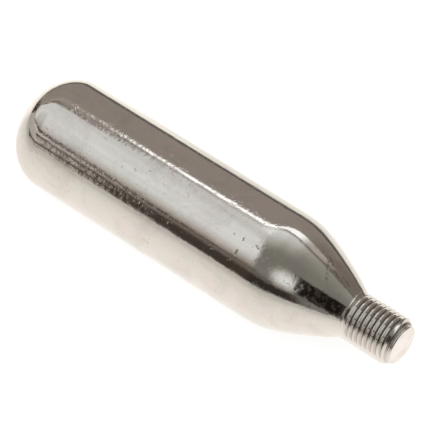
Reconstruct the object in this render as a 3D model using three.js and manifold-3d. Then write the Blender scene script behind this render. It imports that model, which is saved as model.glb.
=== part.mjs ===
// A threaded carbon dioxide cartridge for 16 g of gas, lying on its side.
// Millimetres. +X runs along the cartridge towards its threaded neck and +Z is up.
// The origin is under the middle of the cartridge, on the surface that it lies on.

import * as THREE from 'three';
import { mergeVertices } from 'three/addons/utils/BufferGeometryUtils.js';
import Module from 'manifold-3d';

const wasm = await Module();
wasm.setup();

// Drawn steel shell: dished base, straight barrel and spun-in shoulder.
const barrelDiameter = 22.4;
const barrelLength = 50.2;
const baseDepth = 9;
const shoulderKnuckleRadius = 19;
const shoulderKnuckleSweep = THREE.MathUtils.degToRad(20);
const shoulderFlankRadius = 70;

// Neck with a rolled right-hand thread of the 60 degree unified form.
const neckLength = 8.9;
const neckFilletRadius = 0.6;
const threadMajorDiameter = 9.46;
const threadPitch = 25.4 / 24;
const threadStartAngle = THREE.MathUtils.degToRad(-47);
const neckChamfer = 0.8;

// Seal cap, a soft steel disc welded on the end of the neck.
const sealDiameter = 7.6;
const sealThickness = 0.8;
const sealEdgeRadius = 0.3;

// Proportions of the unified thread form, as shares of the pitch.
const threadDepthShare = 0.6134;
const threadCrestShare = 1 / 8;
const threadFlankAngle = THREE.MathUtils.degToRad(30);

// Fineness of the round surfaces.
const facetsRound = 32;
const threadStepsPerTurn = 36;
const baseSteps = 10;
const knuckleSteps = 4;
const flankSteps = 4;
const filletSteps = 3;
const sealEdgeSteps = 3;

// How far the ridge's foot is sunk into the neck, and how far neck and ridge run past
// the finished end before it is faced off.
const ridgeSink = 0.1;
const facingAllowance = 1.5;

const barrelRadius = barrelDiameter / 2;
const threadMajorRadius = threadMajorDiameter / 2;
const threadDepth = threadDepthShare * threadPitch;
const threadRootRadius = threadMajorRadius - threadDepth;

// A point of an arc in the half section, where the angle is measured from the
// radial direction towards +X, as [along the axis, away from the axis].
function onArc(centre, radius, angle) {
  return [centre[0] + radius * Math.sin(angle), centre[1] + radius * Math.cos(angle)];
}

function arc(centre, radius, from, to, steps) {
  const points = [];
  for (let i = 0; i <= steps; i++) {
    points.push(onArc(centre, radius, from + ((to - from) * i) / steps));
  }
  return points;
}

// The centres and angles of the shoulder, from the barrel's end to the neck.
// The knuckle leaves the barrel at a tangent, the flank goes on from the knuckle,
// and the fillet ends at a tangent to the neck.
function shoulderLayout() {
  const barrelEnd = baseDepth + barrelLength;
  const knuckleCentre = [barrelEnd, barrelRadius - shoulderKnuckleRadius];
  const inward = shoulderKnuckleRadius - shoulderFlankRadius;
  const flankCentre = onArc(knuckleCentre, inward, shoulderKnuckleSweep);
  const flankToFillet = shoulderFlankRadius + neckFilletRadius;
  const filletHeight = threadRootRadius + neckFilletRadius;
  const flankEnd = Math.acos((filletHeight - flankCentre[1]) / flankToFillet);
  const filletCentre = onArc(flankCentre, flankToFillet, flankEnd);
  return { knuckleCentre, flankCentre, flankEnd, filletCentre };
}

const shoulder = shoulderLayout();
const neckStart = shoulder.filletCentre[0];
const neckEnd = neckStart + neckLength;
const overallLength = neckEnd + sealThickness;

// Turns a half section about the cartridge's axis, with a flat of the faceted
// round facing straight down, so that the part lies still.
function turned(halfSection) {
  const points = halfSection.map(([along, out]) => new THREE.Vector2(out, along));
  const geometry = new THREE.LatheGeometry(points, facetsRound, Math.PI / facetsRound);
  geometry.rotateZ(-Math.PI / 2);
  return geometry;
}

// The shell's blank: a semi-ellipse for the base, then barrel, shoulder and a
// plain neck of the thread's root diameter that is longer than the finished one.
function shellBlank() {
  const { knuckleCentre, flankCentre, flankEnd, filletCentre } = shoulder;
  const section = [];
  for (let i = 0; i <= baseSteps; i++) {
    const angle = (i / baseSteps) * (Math.PI / 2);
    section.push([baseDepth * (1 - Math.cos(angle)), barrelRadius * Math.sin(angle)]);
  }
  section[0][1] = 0;
  section.push(...arc(knuckleCentre, shoulderKnuckleRadius, 0, shoulderKnuckleSweep, knuckleSteps));
  const flank = arc(flankCentre, shoulderFlankRadius, shoulderKnuckleSweep, flankEnd, flankSteps);
  section.push(...flank.slice(1));
  const fillet = arc(filletCentre, -neckFilletRadius, flankEnd, 0, filletSteps);
  section.push(...fillet.slice(1));
  section.push([neckEnd + facingAllowance, threadRootRadius]);
  section.push([neckEnd + facingAllowance, 0]);
  return turned(section);
}

// The thread's ridge: its section is extruded straight, one unit of depth for each
// turn, and then wound round the neck. It starts inside the shoulder, where the flank
// is as high as the crests, and runs past the end of the neck.
function threadRidge() {
  const crest = (threadCrestShare * threadPitch) / 2;
  const foot = crest + (threadDepth + ridgeSink) * Math.tan(threadFlankAngle);
  const crestAboveCentre = threadMajorRadius - shoulder.flankCentre[1];
  const crestRunOut = Math.sqrt(shoulderFlankRadius ** 2 - crestAboveCentre ** 2);
  const start = shoulder.flankCentre[0] + crestRunOut - foot;
  const turns = (neckEnd + facingAllowance - start) / threadPitch;

  const section = new THREE.Shape();
  section.moveTo(-foot, threadRootRadius - ridgeSink);
  section.lineTo(foot, threadRootRadius - ridgeSink);
  section.lineTo(crest, threadMajorRadius);
  section.lineTo(-crest, threadMajorRadius);
  section.closePath();

  const steps = Math.ceil(turns * threadStepsPerTurn);
  const geometry = new THREE.ExtrudeGeometry(section, { depth: turns, steps, bevelEnabled: false });
  const position = geometry.attributes.position;
  for (let i = 0; i < position.count; i++) {
    const along = position.getX(i);
    const out = position.getY(i);
    const turn = position.getZ(i);
    const angle = threadStartAngle + 2 * Math.PI * turn;
    position.setXYZ(i, start + along + threadPitch * turn, out * Math.cos(angle), out * Math.sin(angle));
  }
  return geometry;
}

// What the facing and chamfering of the neck's end take away.
function facingCut() {
  const reach = threadMajorRadius + facingAllowance;
  const endRadius = threadMajorRadius - neckChamfer;
  const far = neckEnd + 2 * facingAllowance;
  return turned([
    [neckEnd, 0],
    [neckEnd, endRadius],
    [neckEnd - (reach - endRadius), reach],
    [far, reach],
    [far, 0],
  ]);
}

// The seal cap, seated on the neck's end face, with a rounded outer edge.
function sealCapGeometry() {
  const radius = sealDiameter / 2;
  const edgeCentre = [overallLength - sealEdgeRadius, radius - sealEdgeRadius];
  return turned([
    [neckEnd, 0],
    [neckEnd, radius],
    ...arc(edgeCentre, sealEdgeRadius, 0, Math.PI / 2, sealEdgeSteps),
    [overallLength, 0],
  ]);
}

function toSolid(geometry) {
  geometry.deleteAttribute('normal');
  geometry.deleteAttribute('uv');
  const merged = mergeVertices(geometry, 1e-5);
  const vertProperties = new Float32Array(merged.attributes.position.array);
  const triVerts = new Uint32Array(merged.index.array);
  return new wasm.Manifold(new wasm.Mesh({ numProp: 3, vertProperties, triVerts }));
}

function toGeometry(solid) {
  const mesh = solid.getMesh();
  const geometry = new THREE.BufferGeometry();
  geometry.setAttribute('position', new THREE.BufferAttribute(mesh.vertProperties, 3));
  geometry.setIndex(new THREE.BufferAttribute(mesh.triVerts, 1));
  geometry.computeVertexNormals();
  return geometry;
}

const shellSolid = toSolid(shellBlank()).add(toSolid(threadRidge())).subtract(toSolid(facingCut()));
const sealSolid = toSolid(sealCapGeometry());

// Bright plated steel, and the slightly duller disc at the end.
const platedSteel = new THREE.MeshStandardMaterial({
  color: 0xbdb9b2,
  roughness: 0.16,
  metalness: 1,
});
const sealSteel = new THREE.MeshStandardMaterial({
  color: 0xcfcbc5,
  roughness: 0.32,
  metalness: 1,
});

const cartridgeShell = new THREE.Mesh(toGeometry(shellSolid), platedSteel);
cartridgeShell.name = 'cartridge_shell';

const sealCap = new THREE.Mesh(toGeometry(sealSolid), sealSteel);
sealCap.name = 'seal_cap';

// The cartridge lies on the flat under its barrel, centred over the origin.
const cartridge = new THREE.Group();
cartridge.add(cartridgeShell, sealCap);
cartridge.position.set(-overallLength / 2, 0, barrelRadius * Math.cos(Math.PI / facetsRound));

export default cartridge;
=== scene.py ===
import math

import bpy
import numpy as np
from mathutils import Matrix, Vector


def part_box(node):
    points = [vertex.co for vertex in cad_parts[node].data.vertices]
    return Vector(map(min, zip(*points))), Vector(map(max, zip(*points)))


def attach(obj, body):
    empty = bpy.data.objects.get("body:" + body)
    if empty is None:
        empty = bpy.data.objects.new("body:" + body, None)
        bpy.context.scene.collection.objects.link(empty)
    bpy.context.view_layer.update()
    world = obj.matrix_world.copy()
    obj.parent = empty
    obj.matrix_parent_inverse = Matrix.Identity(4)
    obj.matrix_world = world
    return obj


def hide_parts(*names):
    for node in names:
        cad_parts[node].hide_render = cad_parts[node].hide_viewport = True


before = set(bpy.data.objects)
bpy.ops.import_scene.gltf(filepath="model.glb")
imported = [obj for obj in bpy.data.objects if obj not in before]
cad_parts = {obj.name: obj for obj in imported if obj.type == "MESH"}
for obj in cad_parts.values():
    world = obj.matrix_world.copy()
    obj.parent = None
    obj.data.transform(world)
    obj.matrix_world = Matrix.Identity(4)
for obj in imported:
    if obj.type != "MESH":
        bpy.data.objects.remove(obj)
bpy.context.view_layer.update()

# The looks of a threaded gas cartridge that lies on its side. Metres, +X towards the
# neck, +Z up. The cartridge's axis runs along X at the middle of the shell's box.

MM = 0.001

# Sizes of the steel shell, from the base's tip towards the neck.
SHELL_LOW, SHELL_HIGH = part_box("cartridge_shell")
SEAL_LOW, SEAL_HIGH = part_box("seal_cap")
BASE_TIP = SHELL_LOW[0]
NECK_END = SHELL_HIGH[0]
SEAL_END = SEAL_HIGH[0]
AXIS_HEIGHT = (SHELL_LOW[2] + SHELL_HIGH[2]) / 2
BARREL_RADIUS = (SHELL_HIGH[2] - SHELL_LOW[2]) / 2
BASE_DEPTH = 9 * MM
BARREL_LENGTH = 50.2 * MM
KNUCKLE_RADIUS = 19 * MM
KNUCKLE_SWEEP = math.radians(20)
FLANK_RADIUS = 70 * MM
EASED_JOIN = 2 * MM
EASING_GROWS_OVER = 15 * MM
EASING_SAMPLES = 21

# The rolled thread: flanks 30 degrees off square to the axis, rounded crests and roots,
# and a crest line that passes THREAD_CREST_ANGLE, from +Y, at THREAD_CREST_AT.
THREAD_PITCH = 25.4 / 24 * MM
THREAD_CREST_RADIUS = 4.73 * MM
THREAD_DEPTH = 0.6134 * THREAD_PITCH
THREAD_FLANK = math.radians(30)
THREAD_ROOT_RADIUS = THREAD_CREST_RADIUS - THREAD_DEPTH
THREAD_CREST_SHARE = 0.2
THREAD_ROUNDING = 0.045 * MM
THREAD_CREST_ANGLE = math.radians(-47)
THREAD_CREST_AT = BASE_TIP + 76.54 * MM
THREAD_FROM = 30 * MM
NECK_CHAMFER = 0.8 * MM
NECK_BLEND = 0.12 * MM

# Seal disc and the weld bead at its foot, whose length is a share of the thickness.
SEAL_RADIUS = (SEAL_HIGH[2] - SEAL_LOW[2]) / 2
SEAL_EDGE = 0.3 * MM
SEAL_DISH = 0.03 * MM
BEAD_LENGTH_SHARE = 0.22
BEAD_PROUD = 0.02 * MM
BEAD_DROP = 0.16 * MM

# Scratches and scuffs, in millimetres and degrees: middle along X, middle round the axis
# from +Y, radius there, lean from the axis, half length, half width, and depth as a share.
SCRATCHES = (
    (11.8, 116.5, 11.2, 80, 0.8, 0.2, 1.0),
    (11.9, 131, 11.2, 92, 0.8, 0.22, 1.0),
    (9.9, 118.5, 11.2, 0, 0.35, 0.3, 0.7),
    (27.0, 92, 8.0, 62, 2.6, 0.4, 0.7),
    (26.0, 76, 8.5, 20, 1.3, 0.4, 0.8),
    (29.2, 86, 6.8, 10, 1.8, 0.3, 0.8),
    (30.2, 80, 6.3, 8, 1.2, 0.35, 0.7),
    (5.0, 104, 11.2, 8, 1.7, 0.16, 0.4),
    (-6.3, 175, 11.2, 15, 0.8, 0.35, 0.5),
    (15.0, 117.5, 11.2, 25, 0.6, 0.3, 0.9),
    (-13.8, 117, 11.2, 30, 0.4, 0.25, 0.7),
    (-11.2, 110, 11.2, 20, 0.3, 0.25, 0.7),
    (-2.2, 110.5, 11.2, 55, 0.6, 0.25, 0.4),
    (-16.4, 121, 11.2, 60, 0.3, 0.3, 0.5),
    (-31.0, 98, 11.2, 35, 1.0, 0.2, 0.5),
)

# The scuffed patch on the shoulder, in millimetres: from and to along X, and round the
# shoulder from the line at PATCH_MIDDLE degrees from +Y.
PATCH_X = (23.6, 33.0)
PATCH_MIDDLE = 124
PATCH_ROUND = (-0.9, 2.4)

WHITE = (1, 1, 1, 1)

# Colours of the plating, of the wear on it, of the painted shade in the thread's grooves and of the
# disc.
PLATING_GREENISH = (0.79, 0.782, 0.745, 1)
PLATING_PINKISH = (0.805, 0.772, 0.758, 1)
WORN_PLATING = (0.60, 0.58, 0.55, 1)
PATCH_GRIME = (0.08, 0.065, 0.055, 1)
# Painted shade that darkens the thread's grooves.
GROOVE_PAINTED_SHADE = (0.10, 0.085, 0.07, 1)
BARE_SCRATCH = (0.16, 0.14, 0.12, 1)
DISC_PALE = (0.84, 0.82, 0.80, 1)
DISC_DULL = (0.76, 0.735, 0.71, 1)

# The floor: its half side in metres, what the camera sees of it, and its colour in the
# steel over the distance from the cartridge, where 1 stands for CREAM_REACH and beyond.
FLOOR_HALF = 40
FLOOR_DIFFUSE = (0.17, 0.17, 0.168, 1)
FLOOR_GLOW = 0.87
CREAM_REACH = 0.3
FLOOR_CREAM = (
    (0.0, (0.96, 0.95, 0.92, 1)),
    (0.033, (0.885, 0.845, 0.80, 1)),
    (0.06, (0.82, 0.765, 0.715, 1)),
    (0.12, (0.75, 0.71, 0.66, 1)),
    (0.2, (0.69, 0.655, 0.60, 1)),
    (0.47, (0.585, 0.555, 0.50, 1)),
    (1.0, (0.50, 0.47, 0.42, 1)),
)

# The studio as the steel mirrors it. A place in it is a turn, in degrees about the
# cartridge's axis from +Y over the top to -Y, and a share along the axis, from -1 on
# the base's side to 1 on the neck's.
CEILING = 0.205
BOX_DARK_SIDE = 0.055
EDGE_TURN = 41
EDGE_SWING = 24
LOW_SPOT_TURN = 169.5
GLOW_TURN, GLOW_TURN_REACH = 138, 20
GLOW_ALONG, GLOW_ALONG_REACH = 0.29, 0.28

# Thin dark lines that the base and the barrel mirror: the turn, the start and the end
# along the axis, and the depth that is left past the end.
UPPER_LINE = (147, -1.0, -0.41, 0.35)
MIDDLE_LINE = (157.5, -0.52, -0.43, 0.0)
LOWER_LINE = (168, -0.86, -0.445, 0.0)

# Tints of what the steel mirrors, from its dark parts to its bright ones.
SHADE_TINT = (1.27, 1.0, 0.80, 1)
WARM_TINT = (1.16, 1.0, 0.88, 1)
OLIVE_TINT = (1.045, 1.0, 0.87, 1)
BOX_TINT = (1.0, 1.0, 0.975, 1)

# Columns round the axis and rows along it.
COLUMNS = 144
BASE_ROWS = 44
BARREL_ROWS = 60
KNUCKLE_ROWS = 24
FLANK_ROWS = 44
NECK_ROW_PITCH = 0.027 * MM
BEAD_ROWS = 8
RISE_ROWS = 6
EDGE_ROWS = 16
FACE_ROWS = 24

# Camera, fitted to the photograph's outline.
PHOTO_SIDE = 425
FOCAL_PIXELS = 2870
CAMERA_AZIMUTH = math.radians(39.6)
CAMERA_ELEVATION = math.radians(49.0)
CAMERA_DISTANCE = 527 * MM
CAMERA_ASIDE = 0.2 * MM
CAMERA_ABOVE = 2.46 * MM
SENSOR_WIDTH = 36.0


def smooth_min(a, b, width):
    """The lower of two heights, with the corner between them rounded over a width."""
    h = np.clip(0.5 + 0.5 * (b - a) / width, 0, 1)
    return b * (1 - h) + a * h - width * h * (1 - h)


def smooth_max(a, b, width):
    """The higher of two heights, with the corner between them rounded over a width."""
    return -smooth_min(-a, -b, width)


def revolve_rows(x, r):
    """Points and quads of a surface of revolution about the cartridge's axis.

    x holds one place along the axis for each row, and r one radius for each row and
    column. A point of row i and column j lies at x[i] along the axis and r[i, j] away
    from it, at the angle 2 pi j / columns from +Y towards +Z.
    """
    rows, columns = r.shape
    angle = np.arange(columns) * 2 * np.pi / columns
    points = np.empty((rows, columns, 3))
    points[..., 0] = x[:, None]
    points[..., 1] = r * np.cos(angle)
    points[..., 2] = AXIS_HEIGHT + r * np.sin(angle)
    this_row = np.arange(rows - 1)[:, None] * columns
    next_row = this_row + columns
    j = np.arange(columns)[None, :]
    right = (j + 1) % columns
    corners = (this_row + j, this_row + right, next_row + right, next_row + j)
    quads = np.stack(np.broadcast_arrays(*corners), axis=-1).reshape(-1, 4)
    return points.reshape(-1, 3), quads


def closed_mesh(name, x, r, pole_low, pole_high):
    """Smooth mesh of revolve_rows, closed by a fan to a pole on the axis at each end."""
    points, quads = revolve_rows(x, r)
    columns = r.shape[1]
    low = len(points)
    high = low + 1
    poles = np.array([[pole_low, 0, AXIS_HEIGHT], [pole_high, 0, AXIS_HEIGHT]])
    points = np.concatenate([points, poles])
    j = np.arange(columns)
    right = (j + 1) % columns
    last = low - columns
    fan_low = np.stack([np.full(columns, low), right, j], axis=1)
    fan_high = np.stack([np.full(columns, high), last + j, last + right], axis=1)
    mesh = bpy.data.meshes.new(name)
    mesh.vertices.add(len(points))
    mesh.vertices.foreach_set("co", points.ravel())
    corners = np.concatenate([quads.ravel(), fan_low.ravel(), fan_high.ravel()]).astype(np.int32)
    sizes = np.concatenate([np.full(len(quads), 4), np.full(2 * columns, 3)])
    starts = np.concatenate([[0], np.cumsum(sizes)[:-1]]).astype(np.int32)
    mesh.loops.add(len(corners))
    mesh.loops.foreach_set("vertex_index", corners)
    mesh.polygons.add(len(sizes))
    mesh.polygons.foreach_set("loop_start", starts)
    mesh.polygons.foreach_set("use_smooth", np.ones(len(sizes), dtype=bool))
    mesh.update(calc_edges=True)
    mesh.validate()
    piece = bpy.data.objects.new(name, mesh)
    bpy.context.scene.collection.objects.link(piece)
    return piece


def shoulder_centres():
    """Centres of the knuckle and flank arcs in the half section, as (along, out)."""
    barrel_end = BASE_TIP + BASE_DEPTH + BARREL_LENGTH
    knuckle = np.array([barrel_end, BARREL_RADIUS - KNUCKLE_RADIUS])
    away = np.array([math.sin(KNUCKLE_SWEEP), math.cos(KNUCKLE_SWEEP)])
    return knuckle, knuckle + (KNUCKLE_RADIUS - FLANK_RADIUS) * away


def shell_section():
    """Half section of base, barrel and shoulder, down to where the thread starts.

    The base is half an ellipse, the barrel is straight, the knuckle is an arc that
    leaves the barrel at a tangent, and the flank is a slacker arc that goes on from it.
    Each radius from the barrel on is then the mean of those up to 2 mm before and after
    it, and less far near the two ends, which eases the joins.
    """
    knuckle, flank = shoulder_centres()
    base_angle = np.linspace(0, np.pi / 2, BASE_ROWS + 1)[1:]
    base_x = BASE_TIP + BASE_DEPTH * (1 - np.cos(base_angle))
    base_r = BARREL_RADIUS * np.sin(base_angle)
    barrel_x = np.linspace(base_x[-1], knuckle[0], BARREL_ROWS + 1)[1:]
    barrel_r = np.full(BARREL_ROWS, BARREL_RADIUS)
    knuckle_angle = np.linspace(0, KNUCKLE_SWEEP, KNUCKLE_ROWS + 1)[1:]
    knuckle_x = knuckle[0] + KNUCKLE_RADIUS * np.sin(knuckle_angle)
    knuckle_r = knuckle[1] + KNUCKLE_RADIUS * np.cos(knuckle_angle)
    crest_angle = math.acos((THREAD_CREST_RADIUS - flank[1]) / FLANK_RADIUS)
    flank_angle = np.linspace(KNUCKLE_SWEEP, crest_angle, FLANK_ROWS + 1)[1:-1]
    flank_x = flank[0] + FLANK_RADIUS * np.sin(flank_angle)
    flank_r = flank[1] + FLANK_RADIUS * np.cos(flank_angle)
    x = np.concatenate([base_x, barrel_x, knuckle_x, flank_x])
    r = np.concatenate([base_r, barrel_r, knuckle_r, flank_r])
    room = np.minimum(x - base_x[-1], x[-1] - x) / EASING_GROWS_OVER
    reach = EASED_JOIN * np.clip(room, 0, 1)
    shifts = np.linspace(-1, 1, EASING_SAMPLES)
    r = np.mean([np.interp(x + k * reach, x, r) for k in shifts], axis=0)
    return x, r, flank


def thread_height(x, angle):
    """Height of the thread above its root.

    The distance from the nearest crest line, which is a right-hand helix, falls off at
    60 degree flanks on both sides of a crest of some width, and the crest's and the
    root's corners are rounded.
    """
    turns = (x - THREAD_CREST_AT) / THREAD_PITCH - (angle - THREAD_CREST_ANGLE) / (2 * np.pi)
    from_crest = np.abs(turns - np.round(turns)) * THREAD_PITCH
    drop = (from_crest - THREAD_CREST_SHARE / 2 * THREAD_PITCH) / math.tan(THREAD_FLANK)
    height = smooth_min(THREAD_DEPTH - drop, THREAD_DEPTH, THREAD_ROUNDING)
    return smooth_max(height, 0, THREAD_ROUNDING)


def make_shell():
    """The shell, from the base's pole over the threaded neck to its faced end."""
    x, r, flank = shell_section()
    neck_rows = int((NECK_END - x[-1]) / NECK_ROW_PITCH)
    neck_x = np.linspace(x[-1], NECK_END, neck_rows + 1)[1:]
    angle = np.arange(COLUMNS) * 2 * np.pi / COLUMNS
    thread = THREAD_ROOT_RADIUS + thread_height(neck_x[:, None], angle[None, :])
    flank_r = flank[1] + np.sqrt(FLANK_RADIUS**2 - (neck_x - flank[0]) ** 2)
    neck_r = smooth_max(thread, flank_r[:, None], NECK_BLEND)
    chamfer = THREAD_CREST_RADIUS - NECK_CHAMFER + (NECK_END - neck_x)
    neck_r = smooth_min(neck_r, chamfer[:, None], NECK_BLEND)
    full_x = np.concatenate([x, neck_x])
    full_r = np.concatenate([np.repeat(r[:, None], COLUMNS, axis=1), neck_r])
    return closed_mesh("shell_surface", full_x, full_r, BASE_TIP, NECK_END)


def make_seal():
    """The seal disc: a weld bead at its foot, a rounded edge and a nearly flat end.

    The bead is a quarter of an ellipse, the side rises from it as a quarter of a sine,
    the edge is a quarter circle, and the face sinks towards its middle as a parabola.
    """
    thickness = SEAL_END - NECK_END
    bead = np.linspace(0, np.pi / 2, BEAD_ROWS + 1)
    bead_x = NECK_END + BEAD_LENGTH_SHARE * thickness * np.sin(bead)
    bead_r = SEAL_RADIUS + BEAD_PROUD - BEAD_DROP * (1 - np.cos(bead))
    rise = np.linspace(0, 1, RISE_ROWS + 1)[1:]
    rise_x = bead_x[-1] + rise * (SEAL_END - SEAL_EDGE - bead_x[-1])
    rise_r = bead_r[-1] + (SEAL_RADIUS - bead_r[-1]) * np.sin(rise * np.pi / 2)
    edge = np.linspace(0, np.pi / 2, EDGE_ROWS + 1)[1:]
    edge_x = SEAL_END - SEAL_EDGE + SEAL_EDGE * np.sin(edge)
    edge_r = SEAL_RADIUS - SEAL_EDGE + SEAL_EDGE * np.cos(edge)
    share = np.linspace(1, 0, FACE_ROWS + 1)[1:-1]
    face_r = share * edge_r[-1]
    face_x = SEAL_END - SEAL_DISH * (1 - share**2)
    x = np.concatenate([bead_x, rise_x, edge_x, face_x])
    r = np.concatenate([bead_r, rise_r, edge_r, face_r])
    full_r = np.repeat(r[:, None], COLUMNS, axis=1)
    return closed_mesh("seal_disc", x, full_r, NECK_END, SEAL_END - SEAL_DISH)


class Graph:
    """Node tree of one material or world, whose nodes come from one method."""

    def __init__(self, tree):
        self.tree = tree
        tree.nodes.clear()

    def node(self, kind, inputs=None, output=0, **settings):
        """Adds a node: its settings first, then its sockets, and returns one output."""
        new = self.tree.nodes.new(kind)
        stops = settings.pop("stops", None)
        for key, value in settings.items():
            setattr(new, key, value)
        if stops is not None:
            self.set_stops(new.color_ramp, stops)
        for key, value in (inputs or {}).items():
            self.feed(new.inputs[key], value)
        return Value(self, new.outputs[output]) if len(new.outputs) else new

    def feed(self, socket, value):
        """Links a value to a socket, or sets a plain number, colour or vector there."""
        if isinstance(value, Value):
            self.tree.links.new(value.socket, socket)
        else:
            socket.default_value = value

    def set_stops(self, ramp, stops):
        """Gives a colour ramp its stops, each a place and a colour."""
        while len(ramp.elements) > 1:
            ramp.elements.remove(ramp.elements[-1])
        for k, (place, colour) in enumerate(stops):
            element = ramp.elements[0] if k == 0 else ramp.elements.new(place)
            element.position = place
            element.color = colour

    def math(self, operation, a, b=None):
        """A Math node on one or two numbers."""
        given = {0: a} if b is None else {0: a, 1: b}
        return self.node("ShaderNodeMath", given, operation=operation)

    def noise(self, vector, scale, detail, roughness=0.5, distortion=0.0):
        """A Noise Texture's value."""
        inputs = {"Vector": vector, "Scale": scale, "Detail": detail}
        inputs.update({"Roughness": roughness, "Distortion": distortion})
        return self.node("ShaderNodeTexNoise", inputs)

    def split(self, vector):
        """The three parts of a vector."""
        parts = self.tree.nodes.new("ShaderNodeSeparateXYZ")
        self.feed(parts.inputs[0], vector)
        return [Value(self, socket) for socket in parts.outputs]

    def scaled(self, vector, size, turn=(0.0, 0.0, 0.0)):
        """A vector, turned and scaled by a Mapping node."""
        return self.node("ShaderNodeMapping", {"Vector": vector, "Scale": size, "Rotation": turn})

    def step(self, value, low, high, to_low=0.0, to_high=1.0, kind="SMOOTHSTEP"):
        """Eased or, with kind LINEAR, straight step of a value from low to high."""
        inputs = {"Value": value, "From Min": low, "From Max": high}
        inputs.update({"To Min": to_low, "To Max": to_high})
        return self.node("ShaderNodeMapRange", inputs, interpolation_type=kind)

    def around(self, value, middle, full, none):
        """1 up to a distance from a middle value, easing to 0 at a larger distance."""
        return self.step(self.math("ABSOLUTE", value - middle), full, none, 1.0, 0.0)

    def blend(self, share, a, b):
        """Number that goes from a to b as the share goes from 0 to 1."""
        return a + (b - a) * share

    def mix(self, share, a, b):
        """Colour that goes from a to b as the share goes from 0 to 1."""
        inputs = {0: share, 6: a, 7: b}
        return self.node("ShaderNodeMix", inputs, output=2, data_type="RGBA")


class Value:
    """A socket's value, on which the usual operators add Math nodes."""

    def __init__(self, graph, socket):
        self.graph = graph
        self.socket = socket

    def __add__(self, other):
        return self.graph.math("ADD", self, other)

    def __radd__(self, other):
        return self.graph.math("ADD", other, self)

    def __sub__(self, other):
        return self.graph.math("SUBTRACT", self, other)

    def __rsub__(self, other):
        return self.graph.math("SUBTRACT", other, self)

    def __mul__(self, other):
        return self.graph.math("MULTIPLY", self, other)

    def __rmul__(self, other):
        return self.graph.math("MULTIPLY", other, self)

    def __truediv__(self, other):
        return self.graph.math("DIVIDE", self, other)

    def __pow__(self, other):
        return self.graph.math("POWER", self, other)


def scratch_marks(g, x, turn, broken):
    """Share of bare scratch: the deepest of the listed scratches, broken up by noise."""
    marks = 0.0
    for mid_x, mid_turn, at_radius, slant, half_length, half_width, depth in SCRATCHES:
        ahead = x - mid_x * MM
        round_it = (turn - mid_turn) * (math.radians(at_radius) * MM)
        lean = math.radians(slant)
        lengthways = g.math("ABSOLUTE", ahead * math.cos(lean) + round_it * math.sin(lean))
        crossways = g.math("ABSOLUTE", round_it * math.cos(lean) - ahead * math.sin(lean))
        ends = g.step(lengthways, half_length * 0.7 * MM, half_length * MM, 1.0, 0.0)
        sides = g.step(crossways, half_width * 0.2 * MM, half_width * MM, 1.0, 0.0)
        marks = g.math("MAXIMUM", ends * sides * broken * depth, marks)
    return marks


def scuffed_patch(g, x, turn, radius):
    """Share of the grimy, scuffed patch low on the front of the shoulder."""
    first, last = PATCH_X
    low, high = PATCH_ROUND
    ahead = x / MM
    round_it = (turn - PATCH_MIDDLE) * radius * (math.radians(1) / MM)
    lengthways = g.step(ahead, first, first + 0.8) * g.step(ahead, last, last - 1)
    crossways = g.step(round_it, low, low + 0.4) * g.step(round_it, high, high - 0.5)
    return lengthways * crossways


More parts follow.
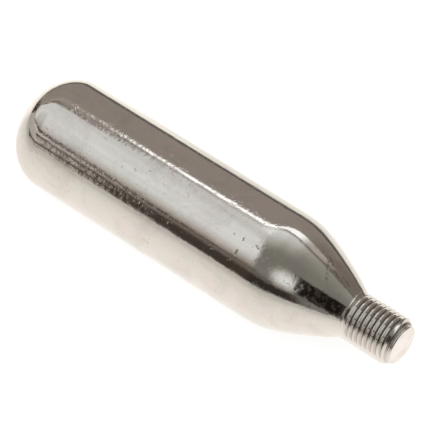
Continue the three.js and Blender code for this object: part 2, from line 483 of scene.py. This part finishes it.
def plated_steel():
    """Bright plating on drawn steel: fine pits, drawing lines, smudges, scuffs and painted shade in
    the thread's grooves.
    """
    material = bpy.data.materials.new("plated_steel")
    material.use_nodes = True
    g = Graph(material.node_tree)
    place = g.node("ShaderNodeTexCoord", output=3)
    x, y, z = g.split(place)
    up = z - AXIS_HEIGHT
    radius = g.math("SQRT", y * y + up * up)
    turn = g.math("ARCTAN2", up, y) * (180 / math.pi)

    # Where the wear is: a cloud of worn places, pits, spots, scuffs and smudges.
    cloud = g.noise(place, 90, detail=4, roughness=0.6)
    pit_cells = g.node("ShaderNodeTexVoronoi", {"Vector": place, "Scale": 1100}, feature="F1")
    pits = g.step(pit_cells, 0.0, 0.25, 1.0, 0.0) * g.step(cloud, 0.42, 0.62)
    spots = g.step(g.noise(place, 620, detail=3, roughness=0.6), 0.64, 0.74)
    slanted = g.scaled(place, (700, 2500, 2500), (0.3, 0.2, 0.5))
    scuffs = g.step(g.noise(slanted, 1, detail=5, roughness=0.75), 0.58, 0.72)
    scuffs = scuffs * g.step(cloud, 0.4, 0.6)
    smudge = g.step(g.noise(place, 160, detail=5, roughness=0.7, distortion=0.6), 0.42, 0.7)
    scratches = scratch_marks(g, x, turn, g.step(g.noise(place, 1800, detail=2), 0.35, 0.55))
    in_patch = scuffed_patch(g, x, turn, radius)
    grime = g.noise(place, 900, detail=5, roughness=0.7)

    # Painted shade in the thread's grooves, with less of it low down.
    above_root = radius - THREAD_ROOT_RADIUS
    groove_shade = g.step(above_root, 0.02 * MM, 0.24 * MM, 1.0, 0.0)
    groove_shade = groove_shade * g.step(x, THREAD_FROM, THREAD_FROM + MM)
    groove_shade = groove_shade * g.step(up, 0.6 * MM, 2.6 * MM, 0.35, 1.0)

    # The relief, in hundredths of a millimetre.
    orange_peel = g.noise(place, 520, detail=2, roughness=0.5)
    fine = g.noise(place, 1300, detail=4, roughness=0.6)
    drawn = g.noise(g.scaled(place, (60, 1500, 1500)), 1, detail=3, roughness=0.6)
    height = orange_peel * 1.6 + fine * 0.9 + drawn * 0.3 + in_patch * grime * 2.2
    height = height - pits * 0.9 - scuffs * 0.6 - spots * 0.8 - scratches * 1.5
    normal = g.node("ShaderNodeBump", {"Strength": 1.0, "Distance": 0.01 * MM, "Height": height})

    # The colour: a faint oily film on bright plating, duller where it is worn, with painted shade
    # in the thread's grooves.
    film = g.step(g.noise(place, 240, detail=3, roughness=0.5), 0.4, 0.6)
    bright = g.mix(film, PLATING_GREENISH, PLATING_PINKISH)
    worn = g.math("MINIMUM", smudge * 0.4 + pits * 0.5 + scuffs * 0.35 + spots * 0.35, 1.0)
    colour = g.mix(worn, bright, WORN_PLATING)
    colour = g.mix(in_patch * g.step(grime, 0.36, 0.55) * 0.88, colour, PATCH_GRIME)
    # Painted shade darkens the thread's grooves.
    colour = g.mix(groove_shade * 0.75, colour, GROOVE_PAINTED_SHADE)
    colour = g.mix(scratches * 0.6, colour, BARE_SCRATCH)
    roughness = 0.05 + smudge * 0.06 + scuffs * 0.12 + pits * 0.1 + groove_shade * 0.2
    inputs = {"Base Color": colour, "Metallic": 1.0, "Roughness": roughness, "Normal": normal}
    g.node("ShaderNodeOutputMaterial", {"Surface": g.node("ShaderNodeBsdfPrincipled", inputs)})
    return material


def seal_steel():
    """The disc's paler, flatter plating, with a fine grain."""
    material = bpy.data.materials.new("seal_steel")
    material.use_nodes = True
    g = Graph(material.node_tree)
    place = g.node("ShaderNodeTexCoord", output=3)
    grain = g.noise(place, 3200, detail=3, roughness=0.6)
    cloud = g.noise(place, 350, detail=3, roughness=0.5)
    normal = g.node("ShaderNodeBump", {"Strength": 1.0, "Distance": 0.003 * MM, "Height": grain})
    roughness = 0.2 + g.step(cloud, 0.35, 0.7) * 0.15
    colour = g.mix(g.step(cloud, 0.4, 0.75), DISC_PALE, DISC_DULL)
    inputs = {"Base Color": colour, "Metallic": 1.0, "Roughness": roughness, "Normal": normal}
    g.node("ShaderNodeOutputMaterial", {"Surface": g.node("ShaderNodeBsdfPrincipled", inputs)})
    return material


def overhead_light(g, turn, along, wobble):
    """Brightness of the soft box over the barrel and of the ceiling beyond its end."""
    # The ceiling is paler towards +Y and dark low on the camera's side.
    paler = g.step(turn, 54, 102, 0.46, 0.0) * g.step(along, 0.0, 0.35, 1.0, 0.2)
    front = g.step(turn, 146, 162) * g.step(along, 0.3, 0.45, 1.0, 0.0)
    ceiling = g.blend(front, CEILING + paler, 0.03)

    # The box falls off towards the camera's side and ends askew over the shoulder.
    fall = g.step(turn, 124, 162, 1.0, BOX_DARK_SIDE)
    box = (g.step(turn, 88, 108, 0.71, 0.79) + wobble * 0.25) * fall
    box_end = g.step(turn, 80, 125, -0.36, -0.31)
    value = g.blend(g.step(along - box_end, -0.035, 0.045, 1.0, 0.0), ceiling, box)

    # Some light spills past the box's end.
    spill = g.step(along, -0.37, -0.31) * g.step(along, -0.3, 0.0, 1.0, 0.0)
    return value + spill * g.step(turn, 110, 88) * 0.17


def near_end_light(g, turn, along, value):
    """Adds what the base mirrors: pale strips, thin dark lines and the box's near end."""
    # The turn, bent so that the upper two lines curve round the base.
    bend = g.step(along, -0.464, -0.478, 0.0, 3.0)
    bend = bend + g.step(along, -0.478, -0.85, 0.0, 9.0, kind="LINEAR")
    bend = bend + g.step(along, -0.85, -0.98, kind="LINEAR") ** 3 * 40
    bent = turn + bend - g.step(along, -0.455, -0.442) * 3.5

    # Pale strips between the lines.
    near_end = g.step(along, -0.466, -0.45, 1.0, 0.0)
    value = g.blend(g.step(bent, 148, 150) * near_end, value, 0.46)
    value = value + g.around(bent, 152.5, 1.0, 3.0) * g.step(along, -0.452, -0.438, 0.14, 0.03)

    # The box's near end: a darker lower corner, then its edge.
    lower_corner = g.step(along, -0.485, -0.54) * g.step(along, -0.95, -0.8) * g.step(turn, 95, 120)
    value = value - lower_corner * g.step(bent, 150, 146) * 0.2
    value = g.blend(g.step(along, -0.95, -0.97), value, 0.44)

    # The three lines, of which the lower one isn't bent, and a spot on the lower one.
    lines = ((bent, UPPER_LINE), (bent, MIDDLE_LINE), (turn, LOWER_LINE))
    for about, (line_turn, start, end, least) in lines:
        thin = g.around(about, line_turn, 0.9, 3.1) * g.step(along, start - 0.06, start)
        depth = g.step(along, end - 0.03, end, 0.88, least) * g.step(along, -0.3, -0.1, 1.0, 0.0)
        value = value * (1 - thin * depth)
    low_spot = g.step(along, -0.85, -0.81) * g.step(along, -0.7, -0.75)
    return value * (1 - low_spot * g.around(turn, LOW_SPOT_TURN, 2.0, 4.5) * 0.85)


def edge_light(g, turn, along, value):
    """Adds the wall behind and the box's bright edge, which swings away past the barrel."""
    # The wall, on the far side of the edge. Past is how far a turn lies beyond the edge.
    wall = g.step(along, -0.05, 0.22, 0.26, 0.17)
    swing = g.step(along, -0.405, -0.06, 1.0, 0.0, kind="LINEAR") ** 2.5
    past = turn - (EDGE_TURN + swing * EDGE_SWING)
    width = 3 + g.step(along, -0.39, -0.1) * 7
    value = g.blend(g.step(past - width, -1.0, 1.0, 1.0, 0.0), value, wall)
    back = g.step(along, -0.465, -0.44, 12.0, 0.0)
    value = g.blend(g.step(past - back, 1.5, 4.5, 1.0, 0.0), value, wall)

    # A haze and a faint line along the edge near the base.
    near_end = g.step(along, -0.466, -0.451, 1.0, 0.0)
    haze = g.step(past, -4, 0) * g.step(past, 5, 9, 1.0, 0.0) * near_end
    value = g.blend(haze, value, g.step(along, -0.474, -0.464, 0.5, 0.33))
    value = value * (1 - g.around(past, back, 1.5, 4.5) * near_end * 0.35)

    # A pale lobe where the barrel ends, a dark line inside the edge, and the edge itself.
    lobe = g.step(turn, 86, 72) * g.step(along, -0.395, -0.375) * g.step(along, -0.3, -0.34)
    value = g.blend(lobe * g.step(past, 0, 3), value, 0.95)
    dark_line = g.step(past - width, -1.0, 1.0) * g.step(past - width, 2.0, 6.0, 1.0, 0.0)
    value = value * (1 - dark_line * g.step(along, -0.4, -0.2, 0.4, 0.6))
    streak = g.step(past, -5.0, -2.0) * g.step(past - width, -2.0, 0.5, 1.0, 0.0)
    glare = g.step(along, -0.459, -0.436, 0.28, 1.7, kind="LINEAR")
    glare = glare * g.step(along, -0.39, -0.3, 1.0, 0.72) * g.step(along, -0.08, 0.16, 1.0, 0.35)
    value = g.blend(streak * g.step(along, 0.32, 0.2), value, glare)

    # The dark spot on the tip of the base.
    end_spot = g.step(along, -0.96, -0.98) * g.step(turn, 118, 100)
    return value * (1 - end_spot * 0.85)


def camera_side_light(g, way, turn, along, value):
    """Adds the glow on the shoulder, the dark shape beside the camera and two pale ends."""
    turn_away = (turn - GLOW_TURN) / GLOW_TURN_REACH
    along_away = (along - GLOW_ALONG) / GLOW_ALONG_REACH
    away = g.math("SQRT", turn_away * turn_away + along_away * along_away)
    value = g.blend(g.step(away, 0.1, 1.25, 1.0, 0.0), value, 0.86)

    # The dark shape widens towards the neck.
    spread = g.step(along, 0.38, 0.58)
    dark = g.step(turn + spread * 6, 112, 116) * g.step(turn - spread * 8, 152, 162, 1.0, 0.0)
    dark = dark * g.step(along, 0.34, 0.37)
    speckle = g.step(g.noise(way, 60, detail=3, roughness=0.7), 0.5, 0.72)
    value = g.blend(dark, value, 0.03 + speckle * 0.1)

    # The horizon on the camera's side, and the room's end beyond the neck.
    value = g.blend(g.step(turn, 174, 178), value, 0.55)
    return g.blend(g.step(along, 0.68, 0.82) * g.step(turn, 70, 40), value, 1.1)


def studio_world():
    """What the bright steel mirrors: a soft box overhead, walls and a dark camera side.

    A direction is read by its angle about the cartridge's axis, from +Y over the top
    to -Y, and by its share along the axis. The camera itself sees plain white.
    """
    world = bpy.data.worlds.new("studio")
    bpy.context.scene.world = world
    world.use_nodes = True
    g = Graph(world.node_tree)
    way = g.node("ShaderNodeTexCoord", output=0)
    along, aside, up = g.split(way)
    wobble = g.noise(way, 7, detail=3) - 0.5
    turn = g.math("ARCTAN2", up, aside) * (180 / math.pi) + wobble * 3
    value = overhead_light(g, turn, along, wobble)
    value = near_end_light(g, turn, along, value)
    value = edge_light(g, turn, along, value)
    value = camera_side_light(g, way, turn, along, value)

    # Dark parts are warm, the ceiling is olive and bright parts are nearly white.
    warm = g.mix(g.step(value, 0.04, 0.25), SHADE_TINT, WARM_TINT)
    olive = g.step(along, -0.38, -0.28) * g.step(turn, 40, 60) * g.step(value, 0.06, 0.14)
    tint = g.mix(g.step(value, 0.25, 0.75), g.mix(olive, warm, OLIVE_TINT), BOX_TINT)
    ray = g.node("ShaderNodeLightPath", output=0)
    seen = g.node("ShaderNodeBackground", {"Color": tint, "Strength": value})
    plain = g.node("ShaderNodeBackground", {"Color": WHITE, "Strength": 1.0})
    both = g.node("ShaderNodeMixShader", {0: ray, 1: seen, 2: plain})
    g.node("ShaderNodeOutputWorld", {"Surface": both})


def make_floor():
    """A plain pale floor, white to the camera, that the steel mirrors as warm cream."""
    half = FLOOR_HALF
    corners = [(-half, -half, 0), (half, -half, 0), (half, half, 0), (-half, half, 0)]
    mesh = bpy.data.meshes.new("floor")
    mesh.from_pydata(corners, [], [(0, 1, 2, 3)])
    floor = bpy.data.objects.new("floor", mesh)
    bpy.context.scene.collection.objects.link(floor)
    material = bpy.data.materials.new("floor")
    material.use_nodes = True
    g = Graph(material.node_tree)
    place = g.node("ShaderNodeTexCoord", output=3)
    ahead, behind, _ = g.split(place)

    # The distance from the cartridge, where its own direction counts a quarter.
    drawn_in = g.scaled(place, (0.25, 1, 1))
    far = g.node("ShaderNodeVectorMath", {0: drawn_in}, output=1, operation="LENGTH")
    cream = g.node("ShaderNodeValToRGB", {0: far / CREAM_REACH}, stops=FLOOR_CREAM)

    # Behind the cartridge it is brighter close by, most near the base, and dark far off.
    glare = g.step(behind, -0.01, 0.01) * (0.12 + g.step(ahead, -0.03, -0.05, 0.0, 0.25))
    strength = (1.2 + glare) * (1 - g.step(behind, 0.085, 0.15) * 0.84)
    mirrored = g.node("ShaderNodeEmission", {"Color": cream, "Strength": strength})
    pale = g.node("ShaderNodeBsdfDiffuse", {"Color": FLOOR_DIFFUSE})
    glow = g.node("ShaderNodeEmission", {"Color": WHITE, "Strength": FLOOR_GLOW})
    seen = g.node("ShaderNodeAddShader", {0: pale, 1: glow})
    ray = g.node("ShaderNodeLightPath", output=0)
    both = g.node("ShaderNodeMixShader", {0: ray, 1: mirrored, 2: seen})
    g.node("ShaderNodeOutputMaterial", {"Surface": both})
    floor.data.materials.append(material)


def soft_light(name, place, size, power):
    """A square lamp, in metres and watts, aimed at the cartridge and not mirrored in it."""
    data = bpy.data.lights.new(name, "AREA")
    data.shape = "SQUARE"
    data.size = size
    data.energy = power
    lamp = bpy.data.objects.new(name, data)
    lamp.location = place
    lamp.rotation_euler = (-Vector(place)).to_track_quat("-Z", "Y").to_euler()
    lamp.visible_glossy = False
    bpy.context.scene.collection.objects.link(lamp)


def place_camera():
    """The photograph's camera: no roll, aimed a little above and aside the middle."""
    a, e = CAMERA_AZIMUTH, CAMERA_ELEVATION
    back = Vector((math.sin(a) * math.cos(e), -math.cos(a) * math.cos(e), math.sin(e)))
    right = Vector((math.cos(a), math.sin(a), 0))
    above = back.cross(right)
    aim = Vector((0, 0, AXIS_HEIGHT)) + right * CAMERA_ASIDE + above * CAMERA_ABOVE
    turn = Matrix((right, above, back)).transposed()
    data = bpy.data.cameras.new("camera")
    data.sensor_width = SENSOR_WIDTH
    data.lens = FOCAL_PIXELS / PHOTO_SIDE * SENSOR_WIDTH
    data.clip_start = 0.01
    camera = bpy.data.objects.new("camera", data)
    camera.matrix_world = Matrix.Translation(aim + back * CAMERA_DISTANCE) @ turn.to_4x4()
    bpy.context.scene.collection.objects.link(camera)
    bpy.context.scene.camera = camera


place_camera()
studio_world()
make_floor()
soft_light("lamp_high", place=(0.1, 0.0, 1.2), size=1.4, power=26)
soft_light("lamp_front", place=(-0.3, -0.9, 0.9), size=1.2, power=10)
bpy.context.scene.view_settings.view_transform = "Standard"

shell = make_shell()
shell.data.materials.append(plated_steel())
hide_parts("cartridge_shell")
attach(shell, "root")

seal = make_seal()
seal.data.materials.append(seal_steel())
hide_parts("seal_cap")
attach(seal, "root")
